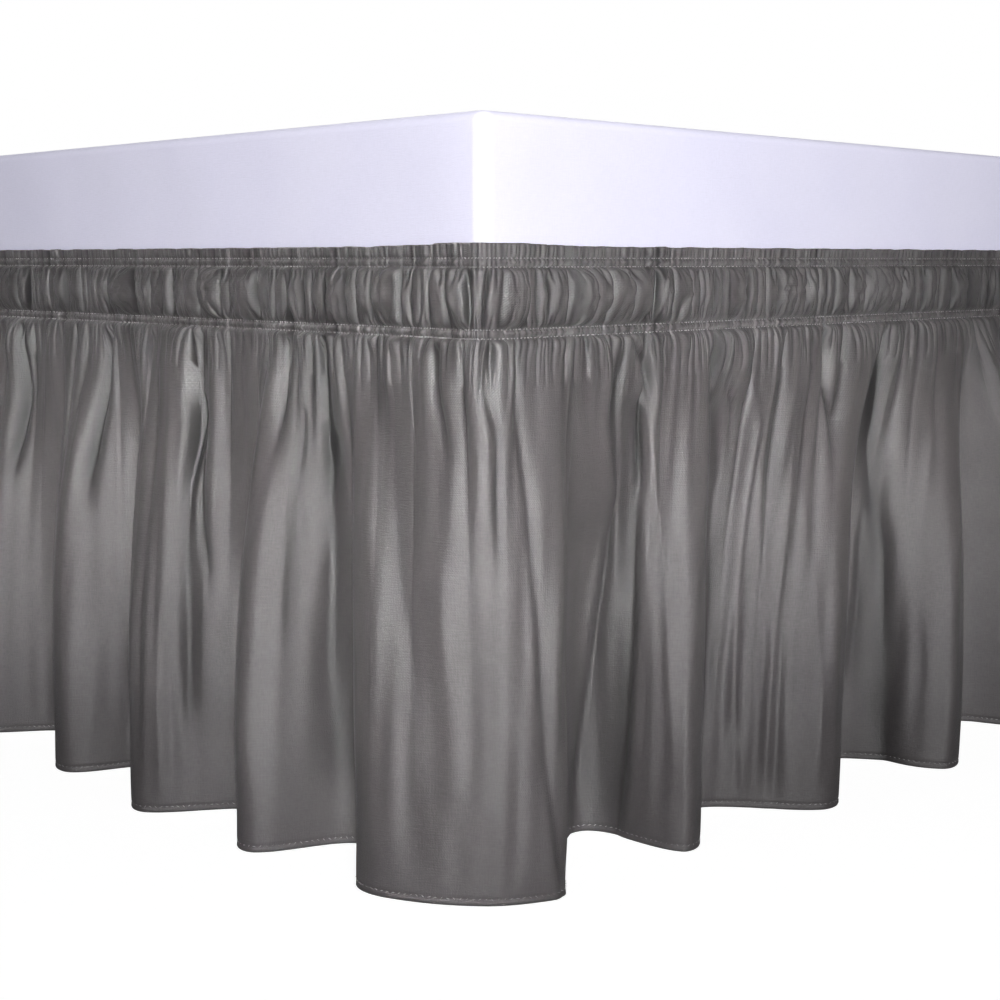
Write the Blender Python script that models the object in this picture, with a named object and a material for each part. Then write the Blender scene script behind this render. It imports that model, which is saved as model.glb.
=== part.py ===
# Gathered bed skirt on a plain bed base. Four lengths of cloth are joined into one loop,
# drawn up on two elastics round the base, and hang from there in deep folds to the floor.
# Metres, +Z up, floor at z = 0. +Y runs to the head of the bed, and X across it.
import math
import random

import bmesh
import bpy
from mathutils import Vector

# bed base and its legs
BASE_WIDTH = 0.990
BASE_LENGTH = 1.905
BASE_TOP = 0.487
BASE_BOTTOM = 0.257
CORNER_RADIUS = 0.010
CORNER_STEPS = 4
SOFT_EDGE = 0.007
SOFT_STEPS = 3
LEG_RADIUS = 0.025
LEG_FOOT_RADIUS = 0.020
LEG_SIDES = 20
LEG_X = 0.400
LEG_ROWS_Y = (-0.850, 0.0, 0.850)
PIECE_GAP = 0.0003

# elastics and cloth
UPPER_ELASTIC_Z = 0.396
LOWER_ELASTIC_Z = 0.3525
ELASTIC_HEIGHT = 0.005
CLOTH_CLEARANCE = 0.0020
CLOTH_THICKNESS = 0.0016
SKIRT_TOP = 0.406
CORNER_RISE = 0.002
CORNER_RISE_SPAN = 0.060

# Heights across the cloth, from its top edge to its hem. Each has its share of the hem's folds,
# and how far the small folds and the sharp pleats stand out there.
HEIGHT, HEM_SHARE, SMALL_FOLD, PLEAT = range(4)
LEVELS = (
    (SKIRT_TOP, 0.00, 0.0000, 0.0040),
    (UPPER_ELASTIC_Z, 0.00, 0.0000, 0.0015),
    (0.3745, 0.00, 0.0015, 0.0065),
    (LOWER_ELASTIC_Z, 0.00, 0.0000, 0.0015),
    (0.3120, 0.11, 0.0050, 0.0060),
    (0.2460, 0.47, 0.0070, 0.0030),
    (0.1200, 0.90, 0.0040, 0.0000),
    (0.0000, 1.00, 0.0000, 0.0000),
)
SMALL_FOLD_PITCH = 0.047
PLEAT_SIZES = (0.55, 1.15)

# Folds at the corner seen in the photograph, from the long side round to the foot, in metres
# along the base from that corner. Each has a crest, its reach, half its round front, and the
# valley after it: where that stands at the hem, its distance out from the base (below 0 it
# tucks in under the base), and where it leaves the gathers.
CREST, REACH, FRONT, VALLEY, TUCK, ROOT = range(6)
CORNER_FOLDS = (
    (-0.555, 0.066, 0.011, -0.482, 0.008, -0.480),
    (-0.405, 0.068, 0.012, -0.352, 0.012, -0.377),
    (-0.281, 0.077, 0.010, -0.209, 0.014, -0.215),
    (-0.160, 0.069, 0.010, -0.104, 0.004, -0.124),
    (-0.042, 0.057, 0.015, 0.000, 0.037, -0.004),
    (0.019, 0.047, 0.007, 0.110, -0.026, 0.074),
    (0.146, 0.050, 0.010, 0.202, -0.002, 0.230),
    (0.286, 0.068, 0.011, 0.374, 0.000, 0.424),
    (0.436, 0.080, 0.012, 0.540, 0.010, 0.558),
)
FIRST_VALLEY = -0.622
# The same at each of the other corners, from a valley this far before the corner.
PLAIN_CORNER_START = -0.105
PLAIN_CORNER_FOLDS = (
    (-0.046, 0.058, 0.014, 0.000, 0.038, 0.000),
    (0.024, 0.055, 0.010, 0.108, -0.004, 0.096),
)
# Folds between the corners, each drawn from these ranges.
PITCH_RANGE = (0.118, 0.152)
REACH_RANGE = (0.060, 0.080)
FRONT_RANGE = (0.008, 0.014)
TUCK_RANGE = (-0.006, 0.016)
LEAN_RANGE = (-0.014, 0.014)
FOLD_SEED = 11
# share of a fold's gathers that its flank away from the nearest corner is drawn into
DRAWN_FLANK = 0.09

# cutting the folds into columns of mesh, and the columns into panels
HEM_COLUMN = 0.0205
COLUMN_JITTER = 0.18
CORNER_MARGIN = 0.005
CURVE_STEPS = 16
PANEL_NAMES = ("skirt_foot_left", "skirt_foot_right", "skirt_head_right", "skirt_head_left")
FIRST_SEAM = -0.720

ARC = math.pi / 2 * CORNER_RADIUS
STRAIGHTS = [side - 2 * CORNER_RADIUS for side in (BASE_WIDTH, BASE_LENGTH) * 2]
PERIMETER = sum(STRAIGHTS) + 4 * ARC
CORNERS_AT = [sum(STRAIGHTS[:turn]) + turn * ARC for turn in range(4)]

# name: red, green, blue, roughness
FINISHES = {
    "skirt_cloth": (0.115, 0.106, 0.110, 0.55),
    "elastic_tape": (0.180, 0.170, 0.172, 0.70),
    "base_fabric": (0.760, 0.755, 0.880, 0.85),
    "leg_plastic": (0.030, 0.030, 0.032, 0.45),
}


def finish(name):
    material = bpy.data.materials.get(name)
    if material is None:
        red, green, blue, roughness = FINISHES[name]
        material = bpy.data.materials.new(name)
        material.use_nodes = True
        shader = material.node_tree.nodes["Principled BSDF"]
        shader.inputs["Base Color"].default_value = (red, green, blue, 1.0)
        shader.inputs["Roughness"].default_value = roughness
        shader.inputs["Metallic"].default_value = 0.0
        material.diffuse_color = (red, green, blue, 1.0)
    return material


def add_object(name, bm, finish_name, sharp_angle=40):
    mesh = bpy.data.meshes.new(name)
    bm.to_mesh(mesh)
    bm.free()
    mesh.materials.append(finish(finish_name))
    mesh.shade_smooth()
    mesh.set_sharp_from_angle(angle=math.radians(sharp_angle))
    obj = bpy.data.objects.new(name, mesh)
    bpy.context.scene.collection.objects.link(obj)
    return obj


# ---- the base's outline in plan ----

def direction(angle):
    return Vector((math.cos(angle), math.sin(angle)))


def outline_point(along, out):
    """The plan point `along` metres round the base from its foot left corner, going along the
    foot first, and `out` metres outside it."""
    rest = (along + ARC / 2) % PERIMETER
    radius = CORNER_RADIUS + out
    centre = Vector((CORNER_RADIUS - BASE_WIDTH / 2, CORNER_RADIUS - BASE_LENGTH / 2))
    for turn, straight in enumerate(STRAIGHTS):
        heading = turn * math.pi / 2
        if rest <= ARC:
            return centre + direction(heading - math.pi + rest / CORNER_RADIUS) * radius
        rest -= ARC
        if rest <= straight or turn == 3:
            return centre + direction(heading) * rest + direction(heading - math.pi / 2) * radius
        rest -= straight
        centre += direction(heading) * straight


def outline_loop(out):
    """Plan points round the whole base, `out` metres outside it, with each corner's steps."""
    steps = [step * ARC / CORNER_STEPS - ARC / 2 for step in range(CORNER_STEPS + 1)]
    return [outline_point(corner + step, out) for corner in CORNERS_AT for step in steps]


def clear_of_base(point):
    """The plan point, moved straight out where it is nearer the base than the cloth may be."""
    half = (BASE_WIDTH / 2 + CLOTH_CLEARANCE, BASE_LENGTH / 2 + CLOTH_CLEARANCE)
    gaps = [abs(point[axis]) - half[axis] for axis in (0, 1)]
    if max(gaps) >= 0 or min(gaps) > -CORNER_RADIUS:
        return point
    axis = 0 if gaps[0] > gaps[1] else 1
    point[axis] = math.copysign(half[axis], point[axis])
    return point


# ---- base, legs and elastics ----

def loft(bm, loops, closed):
    """Skins loops of (x, y, z) points. A closed loft meets its first loop again, and an open
    one is capped at both ends."""
    rings = [[bm.verts.new(point) for point in loop] for loop in loops]
    pairs = list(zip(rings, rings[1:]))
    if closed:
        pairs.append((rings[-1], rings[0]))
    else:
        bm.faces.new(rings[0])
        bm.faces.new(rings[-1])
    for below, above in pairs:
        for i in range(len(below)):
            bm.faces.new((below[i - 1], below[i], above[i], above[i - 1]))
    bmesh.ops.recalc_face_normals(bm, faces=bm.faces)


def at_height(loop, z):
    return [(point.x, point.y, z) for point in loop]


def build_base():
    turns = [step / SOFT_STEPS * math.pi / 2 for step in range(SOFT_STEPS + 1)]
    lower, upper = [], []
    for turn in turns:
        loop = outline_loop(SOFT_EDGE * (math.sin(turn) - 1))
        rise = SOFT_EDGE * (1 - math.cos(turn))
        lower.append(at_height(loop, BASE_BOTTOM + rise))
        upper.append(at_height(loop, BASE_TOP - rise))
    bm = bmesh.new()
    loft(bm, lower + upper[::-1], closed=False)
    add_object("bed_base", bm, "base_fabric")


def build_legs():
    height = BASE_BOTTOM - PIECE_GAP
    places = [(x, y) for y in LEG_ROWS_Y for x in (-LEG_X, LEG_X)]
    for number, (x, y) in enumerate(places, start=1):
        bm = bmesh.new()
        bmesh.ops.create_cone(
            bm, cap_ends=True, segments=LEG_SIDES,
            radius1=LEG_FOOT_RADIUS, radius2=LEG_RADIUS, depth=height,
        )
        leg = add_object(f"leg_{number}", bm, "leg_plastic")
        leg.location = (x, y, height / 2)


def build_elastic(name, z):
    near, far = PIECE_GAP, CLOTH_CLEARANCE - PIECE_GAP
    low, high = z - ELASTIC_HEIGHT / 2, z + ELASTIC_HEIGHT / 2
    corners = ((near, low), (far, low), (far, high), (near, high))
    bm = bmesh.new()
    loft(bm, [at_height(outline_loop(out), height) for out, height in corners], closed=True)
    add_object(name, bm, "elastic_tape")


# ---- where the folds stand ----

def even_folds(start, end, rng):
    """Fold rows that fill the outline from a valley at `start` to a valley at `end`."""
    count = max(1, round((end - start) / (sum(PITCH_RANGE) / 2)))
    pitches = [rng.uniform(*PITCH_RANGE) for _ in range(count)]
    scale = (end - start) / sum(pitches)
    rows, at = [], start
    for number, pitch in enumerate(pitches, start=1):
        crest = at + pitch * scale * rng.uniform(0.42, 0.58)
        at += pitch * scale
        reach, front, tuck = (rng.uniform(*span) for span in (REACH_RANGE, FRONT_RANGE, TUCK_RANGE))
        lean = rng.uniform(*LEAN_RANGE) if number < count else 0.0
        rows.append((crest, reach, front, at, tuck, at + lean))
    return rows


def all_folds():
    """Every fold row round the base, starting with those at the photographed corner."""
    rng = random.Random(FOLD_SEED)
    rows = list(CORNER_FOLDS)
    for corner in CORNERS_AT[1:]:
        rows += even_folds(rows[-1][VALLEY], corner + PLAIN_CORNER_START, rng)
        for crest, reach, front, valley, tuck, root in PLAIN_CORNER_FOLDS:
            rows.append((corner + crest, reach, front, corner + valley, tuck, corner + root))
    return rows + even_folds(rows[-1][VALLEY], PERIMETER + FIRST_VALLEY, rng)


def hem_curve(rows):
    """The closed plan curve of the hem, as one list of points for each fold row."""
    marks = []
    for row in rows:
        marks.append(outline_point(row[CREST] - row[FRONT], row[REACH]))
        marks.append(outline_point(row[CREST] + row[FRONT], row[REACH]))
        marks.append(outline_point(row[VALLEY], row[TUCK]))
    count = len(marks)
    tangents = [(marks[(i + 1) % count] - marks[i - 1]).normalized() for i in range(count)]
    stretches = []
    for first in range(-1, count - 1, 3):
        points = []
        for i in range(first, first + 3):
            start, end = marks[i % count], marks[(i + 1) % count]
            length = (end - start).length
            for step in range(CURVE_STEPS):
                t = step / CURVE_STEPS
                leave = tangents[i % count] * (t * (1 - t) ** 2 * length)
                arrive = tangents[(i + 1) % count] * (t * t * (1 - t) * length)
                points.append(start.lerp(end, t * t * (3 - 2 * t)) + leave - arrive)
        points.append(marks[(first + 3) % count].copy())
        stretches.append(points)
    return stretches


# ---- columns of cloth ----

def between(value, knots, wanted):
    """The value moved from one column of the knots to the other, straight from knot to knot."""
    for before, after in zip(knots, knots[1:]):
        if value <= after[1 - wanted]:
            share = (value - before[1 - wanted]) / (after[1 - wanted] - before[1 - wanted])
            return before[wanted] + share * (after[wanted] - before[wanted])
    return knots[-1][wanted]


def run_length(points):
    return sum((b - a).length for a, b in zip(points, points[1:]))


def drawn_knots(crest, hem):
    """Matching shares of a fold's gathers and of its hem. The flank that faces away from the
    nearest corner is drawn into few gathers."""
    aways = [(crest - corner + PERIMETER / 2) % PERIMETER - PERIMETER / 2 for corner in CORNERS_AT]
    if min(aways, key=abs) < 0:
        middle = (DRAWN_FLANK, run_length(hem[:CURVE_STEPS + 1]) / run_length(hem))
    else:
        middle = (1 - DRAWN_FLANK, run_length(hem[:2 * CURVE_STEPS + 1]) / run_length(hem))
    return ((0.0, 0.0), middle, (1.0, 1.0))


def spread_columns(start, width, hem, knots, rng):
    """Places along the outline for one fold's columns, from its first valley up to the next.
    They are nearly even along its hem, and close together where the fold goes round a corner."""
    count = 2 * max(2, round(run_length(hem) / HEM_COLUMN / 2))
    shares = [0.0] + [i + rng.uniform(-COLUMN_JITTER, COLUMN_JITTER) for i in range(1, count)]
    places = [start + width * between(share / count, knots, 0) for share in shares]
    for corner in [*CORNERS_AT, PERIMETER]:
        steps = [corner + ARC * (step / CORNER_STEPS - 0.5) for step in range(CORNER_STEPS + 1)]
        steps = [step for step in steps if start <= step < start + width]
        if steps:
            margin = ARC / 2 + CORNER_MARGIN
            far = [place for place in places if place == start or abs(place - corner) > margin]
            places = sorted(far + steps)
    return places


def point_along(points, share):
    """The point at this share of the length of a run of points."""
    rest = share * run_length(points)
    for point, after in zip(points, points[1:]):
        length = (after - point).length
        if rest <= length:
            return point.lerp(after, rest / length)
        rest -= length
    return points[-1].copy()


def cloth_columns(rows):
    """The columns of the whole loop, as (place along the outline, plan point at the hem), and
    the number of the column that starts each fold row."""
    rng = random.Random(FOLD_SEED)
    columns, starts = [], []
    for index, (row, hem) in enumerate(zip(rows, hem_curve(rows))):
        start = rows[index - 1][ROOT] if index else FIRST_VALLEY
        width = row[ROOT] - start
        knots = drawn_knots(row[CREST], hem)
        starts.append(len(columns))
        for place in spread_columns(start, width, hem, knots, rng):
            share = between((place - start) / width, knots, 1)
            columns.append((place, point_along(hem, share)))
    return columns, starts


def pushed_out(loop, amounts):
    """Moves each point of a closed plan loop out, square to the loop, by its own amount."""
    moved = []
    for i, point in enumerate(loop):
        along = (loop[(i + 1) % len(loop)] - loop[i - 1]).normalized()
        moved.append(point + Vector((along.y, -along.x)) * amounts[i])
    return moved


def small_fold(place):
    """From 0 to 1, uneven folds a hand's breadth apart between the deep ones."""
    turn = 2 * math.pi * place / SMALL_FOLD_PITCH
    return 0.5 + 0.5 * math.sin(turn + 0.9 * math.sin(turn * 0.31) + 0.7 * math.sin(turn * 0.17))


def pleat_sizes(columns):
    """How far each column stands out in a pleat of unit depth: every other one does, unevenly,
    and less where the columns are close together."""
    rng = random.Random(FOLD_SEED)
    sizes = []
    for i, (place, _) in enumerate(columns):
        gap = (columns[(i + 1) % len(columns)][0] - place) % PERIMETER
        size = rng.uniform(*PLEAT_SIZES) * min(1.0, 2 * gap / HEM_COLUMN)
        sizes.append(size * (i % 2))
    return sizes


def cloth_level(columns, pleats, level):
    """The inner and outer plan loops of the cloth at one height."""
    loop, amounts = [], []
    for (place, hem), pleat in zip(columns, pleats):
        loop.append(outline_point(place, CLOTH_CLEARANCE).lerp(hem, level[HEM_SHARE]))
        amounts.append(level[SMALL_FOLD] * small_fold(place) + level[PLEAT] * pleat)
    inner = pushed_out(loop, amounts)
    if level[HEIGHT] > BASE_BOTTOM - 2 * SOFT_EDGE:
        inner = [clear_of_base(point) for point in inner]
    outer = pushed_out(inner, [CLOTH_THICKNESS] * len(inner))
    return inner, outer


def rise_at(place):
    """How far the top edge rides up near a corner."""
    nearest = min(abs(place % PERIMETER - corner) for corner in [*CORNERS_AT, PERIMETER])
    return CORNER_RISE * math.exp(-((nearest / CORNER_RISE_SPAN) ** 2))


def build_panel(name, numbers, columns, levels):
    """One length of cloth, from the columns with these numbers. Its side edges draw back by
    half the gap between pieces."""
    bm = bmesh.new()
    sheets = ([], [])
    for level, loops in zip(LEVELS, levels):
        for sheet, loop in zip(sheets, loops):
            points = [loop[number] for number in numbers]
            for end, inside in ((0, 1), (-1, -2)):
                back = (points[inside] - points[end]).normalized() * PIECE_GAP / 2
                points[end] = points[end] + back
            heights = [level[HEIGHT]] * len(points)
            if level[HEIGHT] == SKIRT_TOP:
                heights = [SKIRT_TOP + rise_at(columns[number][0]) for number in numbers]
            sheet.append([bm.verts.new((p.x, p.y, z)) for p, z in zip(points, heights)])
    inner, outer = sheets
    last = len(numbers) - 1
    for upper in range(len(LEVELS) - 1):
        for left in range(last):
            corners = [(upper, left), (upper + 1, left), (upper + 1, left + 1), (upper, left + 1)]
            if left % 2:
                corners = corners[1:] + corners[:1]
            for sheet, order in ((outer, 1), (inner, -1)):
                a, b, c, d = (sheet[row][column] for row, column in corners)
                bm.faces.new((a, b, c)[::order])
                bm.faces.new((a, c, d)[::order])
        for end, order in ((0, 1), (last, -1)):
            edge = (inner[upper][end], inner[upper + 1][end], outer[upper + 1][end], outer[upper][end])
            bm.faces.new(edge[::order])
    for row, order in ((0, 1), (-1, -1)):
        for left in range(last):
            rim = (inner[row][left], outer[row][left], outer[row][left + 1], inner[row][left + 1])
            bm.faces.new(rim[::order])
    add_object(name, bm, "skirt_cloth", sharp_angle=70)


def build_skirt():
    rows = all_folds()
    columns, starts = cloth_columns(rows)
    pleats = pleat_sizes(columns)
    levels = [cloth_level(columns, pleats, level) for level in LEVELS]
    seams = []
    for turn in range(len(PANEL_NAMES)):
        sought = (FIRST_SEAM + turn * PERIMETER / len(PANEL_NAMES)) % PERIMETER
        seams.append(min(starts, key=lambda number: abs(columns[number][0] - sought)))
    for turn, name in enumerate(PANEL_NAMES):
        first, after = seams[turn], seams[(turn + 1) % len(seams)]
        if after <= first:
            after += len(columns)
        numbers = [number % len(columns) for number in range(first, after + 1)]
        build_panel(name, numbers, columns, levels)


for old in list(bpy.data.objects):
    bpy.data.objects.remove(old)
build_base()
build_legs()
build_elastic("elastic_upper", UPPER_ELASTIC_Z)
build_elastic("elastic_lower", LOWER_ELASTIC_Z)
build_skirt()
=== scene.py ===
import math
import random

import bpy
import numpy as np
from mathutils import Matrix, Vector


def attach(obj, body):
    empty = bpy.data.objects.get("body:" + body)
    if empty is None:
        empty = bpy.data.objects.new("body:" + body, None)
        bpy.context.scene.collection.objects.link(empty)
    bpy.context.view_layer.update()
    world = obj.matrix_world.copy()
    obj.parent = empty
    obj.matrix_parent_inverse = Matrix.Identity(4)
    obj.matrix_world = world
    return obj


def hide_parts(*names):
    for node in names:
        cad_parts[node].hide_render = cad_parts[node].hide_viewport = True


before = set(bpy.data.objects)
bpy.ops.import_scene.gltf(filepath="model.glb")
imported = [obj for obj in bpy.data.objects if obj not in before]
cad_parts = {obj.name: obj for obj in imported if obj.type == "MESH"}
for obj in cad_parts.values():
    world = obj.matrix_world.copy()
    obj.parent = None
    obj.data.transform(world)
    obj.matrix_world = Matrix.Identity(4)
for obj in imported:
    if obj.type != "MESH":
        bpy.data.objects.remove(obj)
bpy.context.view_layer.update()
print("frame loaded")

bedBase = {
    "width": 0.990,
    "length": 1.905,
    "top": 0.487,
    "bottom": 0.257,
    "cornerRadius": 0.010,
    "softEdge": 0.007,
}
cornerArc = math.pi / 2 * bedBase["cornerRadius"]
straightSides = [side - 2 * bedBase["cornerRadius"] for side in (bedBase["width"], bedBase["length"]) * 2]
wayRound = sum(straightSides) + 4 * cornerArc
cornerPlaces = [sum(straightSides[:turn]) + turn * cornerArc for turn in range(4)]


def outlinePoints(place, out):
    # plan points this far round the base and this far outside it
    place, out = np.broadcast_arrays(np.asarray(place, float), np.asarray(out, float))
    rest = (place + cornerArc / 2) % wayRound
    points = np.zeros(place.shape + (2,))
    radius = bedBase["cornerRadius"]
    centre = np.array([radius - bedBase["width"] / 2, radius - bedBase["length"] / 2])
    begin = 0.0
    for turn, straight in enumerate(straightSides):
        heading = turn * math.pi / 2
        forward = np.array([math.cos(heading), math.sin(heading)])
        outward = np.array([math.sin(heading), -math.cos(heading)])
        onArc = (rest >= begin) & (rest <= begin + cornerArc)
        angle = heading - math.pi + (rest[onArc] - begin) / radius
        reach = (radius + out[onArc])[:, None]
        points[onArc] = centre + np.stack([np.cos(angle), np.sin(angle)], 1) * reach
        begin += cornerArc
        spare = 1e-9 if turn < 3 else 1  # the last side takes all that rounding leaves over
        onSide = (rest > begin) & (rest <= begin + straight + spare)
        along = (rest[onSide] - begin)[:, None]
        points[onSide] = centre + forward * along + outward * (radius + out[onSide])[:, None]
        begin += straight
        centre = centre + forward * straight
    return points


def eased(share):
    # from 0 to 1, slowly at both ends
    return share * share * (3 - 2 * share)


foldPlan = {
    # crest place, its reach, half its round front, valley place at the hem, the valley's
    # distance out from the base (below 0 under it), and the place where it leaves the gathers
    "photoCorner": (
        (-0.555, 0.066, 0.011, -0.482, 0.008, -0.480),
        (-0.405, 0.068, 0.012, -0.352, 0.012, -0.377),
        (-0.281, 0.077, 0.010, -0.209, 0.014, -0.215),
        (-0.160, 0.069, 0.010, -0.104, 0.004, -0.124),
        (-0.042, 0.057, 0.015, 0.000, 0.037, -0.004),
        (0.019, 0.047, 0.007, 0.110, -0.026, 0.074),
        (0.146, 0.050, 0.010, 0.202, -0.002, 0.230),
        (0.286, 0.068, 0.011, 0.374, 0.000, 0.424),
        (0.436, 0.080, 0.012, 0.540, 0.010, 0.558),
    ),
    "firstValley": -0.622,
    "plainCornerStart": -0.105,
    "plainCorner": (
        (-0.046, 0.058, 0.014, 0.000, 0.038, 0.000),
        (0.024, 0.055, 0.010, 0.108, -0.004, 0.096),
    ),
    # ranges for the folds between the corners
    "pitch": (0.118, 0.152),
    "crestShare": (0.42, 0.58),
    "reach": (0.060, 0.080),
    "front": (0.008, 0.014),
    "tuck": (-0.006, 0.016),
    "lean": (-0.014, 0.014),
    "seed": 11,
    "curveSteps": 48,
    "drawnFlank": 0.09,  # share of a fold's gathers that its flank away from the corner takes
    # place, and the share of the plain pleats left there among the creases listed one by one
    "calm": (
        (-0.62, 1.0), (-0.56, 0.5), (-0.13, 0.5), (-0.09, 0.25), (0.07, 0.25), (0.12, 0.5), (0.52, 0.5),
        (0.58, 1.0),
    ),
}
crestColumn, valleyColumn, rootColumn = 0, 3, 5


def evenFolds(start, end, rng):
    count = max(1, round((end - start) / (sum(foldPlan["pitch"]) / 2)))
    pitches = [rng.uniform(*foldPlan["pitch"]) for _ in range(count)]
    scale = (end - start) / sum(pitches)
    folds, at = [], start
    for number, pitch in enumerate(pitches, start=1):
        crest = at + pitch * scale * rng.uniform(*foldPlan["crestShare"])
        at += pitch * scale
        reach, front, tuck = (rng.uniform(*foldPlan[word]) for word in ("reach", "front", "tuck"))
        lean = rng.uniform(*foldPlan["lean"]) if number < count else 0.0
        folds.append((crest, reach, front, at, tuck, at + lean))
    return folds


def allFolds():
    rng = random.Random(foldPlan["seed"])
    folds = list(foldPlan["photoCorner"])
    for corner in cornerPlaces[1:]:
        folds += evenFolds(folds[-1][valleyColumn], corner + foldPlan["plainCornerStart"], rng)
        for crest, reach, front, valley, tuck, root in foldPlan["plainCorner"]:
            folds.append((corner + crest, reach, front, corner + valley, tuck, corner + root))
    return folds + evenFolds(folds[-1][valleyColumn], wayRound + foldPlan["firstValley"], rng)


def hemArcs(folds):
    # the plan curve of the hem, one run of points for each fold, from valley to valley
    marks = []
    for crest, reach, front, valley, tuck, _ in folds:
        marks += [(crest - front, reach), (crest + front, reach), (valley, tuck)]
    marks = outlinePoints(*np.array(marks).T)
    ways = np.roll(marks, -1, 0) - np.roll(marks, 1, 0)
    ways /= np.linalg.norm(ways, axis=1)[:, None]
    share = (np.arange(foldPlan["curveSteps"]) / foldPlan["curveSteps"])[:, None]
    arcs = []
    for first in range(-1, len(marks) - 1, 3):  # each fold has three marks
        runs = []
        for i in range(first, first + 3):
            start, end = marks[i], marks[i + 1]
            length = np.linalg.norm(end - start)
            leave = ways[i] * (share * (1 - share) ** 2 * length)
            arrive = ways[i + 1] * (share * share * (1 - share) * length)
            runs.append(start + (end - start) * eased(share) + leave - arrive)
        arcs.append(np.concatenate(runs + [marks[first + 3][None]]))
    return arcs


folds = allFolds()
foldArcs = hemArcs(folds)
foldStarts = np.array([foldPlan["firstValley"]] + [fold[rootColumn] for fold in folds])
foldStarts[-1] = foldPlan["firstValley"] + wayRound
arcLengths = [np.r_[0, np.cumsum(np.linalg.norm(np.diff(arc, axis=0), axis=1))] for arc in foldArcs]
clothStarts = np.r_[0, np.cumsum([lengths[-1] for lengths in arcLengths])]
print(f"{len(folds)} deep folds, {clothStarts[-1]:.2f} m of cloth round {wayRound:.2f} m of base")


def nearestCorner(place):
    # how far each place lies past the base's nearest corner, below 0 before it
    aways = [(place - corner + wayRound / 2) % wayRound - wayRound / 2 for corner in cornerPlaces]
    return np.choose(np.argmin(np.abs(aways), 0), aways)


def gatherShares(number):
    # matching shares of one fold's gathers and lengths of its hem: the flank that faces away from
    # the nearest corner is drawn into few gathers, so the fold's edge hangs straight down
    lengths, steps, drawn = arcLengths[number], foldPlan["curveSteps"], foldPlan["drawnFlank"]
    if nearestCorner(folds[number][crestColumn]) < 0:
        return (0, drawn, 1), (0, lengths[steps], lengths[-1])
    return (0, 1 - drawn, 1), (0, lengths[2 * steps], lengths[-1])


def wrapped(place):
    return (place - foldPlan["firstValley"]) % wayRound + foldPlan["firstValley"]


def hemPoints(place):
    # where the cloth that leaves the gathers at this place meets the floor, and its cloth length
    place = wrapped(place)
    fold = np.clip(np.searchsorted(foldStarts, place, side="right") - 1, 0, len(folds) - 1)
    points, cloth = np.zeros((len(place), 2)), np.zeros(len(place))
    for number in np.unique(fold):
        here = fold == number
        share = (place[here] - foldStarts[number]) / (foldStarts[number + 1] - foldStarts[number])
        length = np.interp(share, *gatherShares(number))
        for axis in (0, 1):
            points[here, axis] = np.interp(length, arcLengths[number], foldArcs[number][:, axis])
        cloth[here] = clothStarts[number] + length
    return points, cloth


gathering = {
    "clearance": 0.0022,  # the cloth's outer face at a valley of the gathers
    "drawnPitch": (0.0026, 0.0054),  # finest gathers, as the elastic draws them
    "puffGathers": (2, 5),  # fine gathers in one pleat of the puffed band
    "pairGathers": (2, 2),
    "fourGathers": (2, 6),  # paired gathers in one pleat of the drop
    "columnShares": (0.0, 0.16, 0.5, 0.84),  # across each fine gather
    "cornerGain": 0.0126,  # how much longer the gathers' outer face is round each corner
    "handPitch": 0.047,
    # for each kind of pleat: its usual width, ranges of its size and of how far it leans over,
    # how deep the slots beside it are, and how flat it is between them (from 2, round)
    "fine": {"usual": 0.004, "sizes": (0.6, 1.25), "lean": 0.4, "slots": (0.30, 1.15), "flat": 5},
    "pairs": {"usual": 0.008, "sizes": (0.5, 1.25), "lean": 0.5, "slots": (0.5, 1.1), "flat": 4},
    "fours": {"usual": 0.032, "sizes": (0.7, 1.2), "lean": 0.7, "slots": (0.6, 1.1), "flat": 9},
    "puffs": {"usual": 0.014, "sizes": (0.7, 1.15), "lean": 0.5, "slots": (0.7, 1.1), "flat": 5},
    "fades": (0.55, 1.8),  # how much sooner or later than usual one pleat ends
    "fineRounded": 0.4,  # how round fine gathers are, and the height from which their slots get full painted shade
    "fineShadedFrom": 0.0025,
    # unevenness along the outline: waves in one turn, and how many are added up
    "noises": {
        "bow": ((140, 330), 9), "sway": ((40, 120), 9), "slant": ((60, 140), 9), "ripple": ((30, 90), 8),
        "edge": ((90, 400), 9),
    },
    # short creases that leave a casing between the pleats of the puffed band
    "shortCreases": {
        "chance": 0.4, "length": (0.005, 0.017), "depth": (0.5, 0.95), "half": (0.0008, 0.0014),
        "slant": (-0.15, 0.15),
    },
    # how far ripples and crumples stand out, and how far below the casings and above the floor
    # they have grown to that
    "ripples": (0.0012, 0.12, 0.05),
    "crumples": (0.0009, 0.02, 0.04),
    "seed": 5,
}

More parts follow.
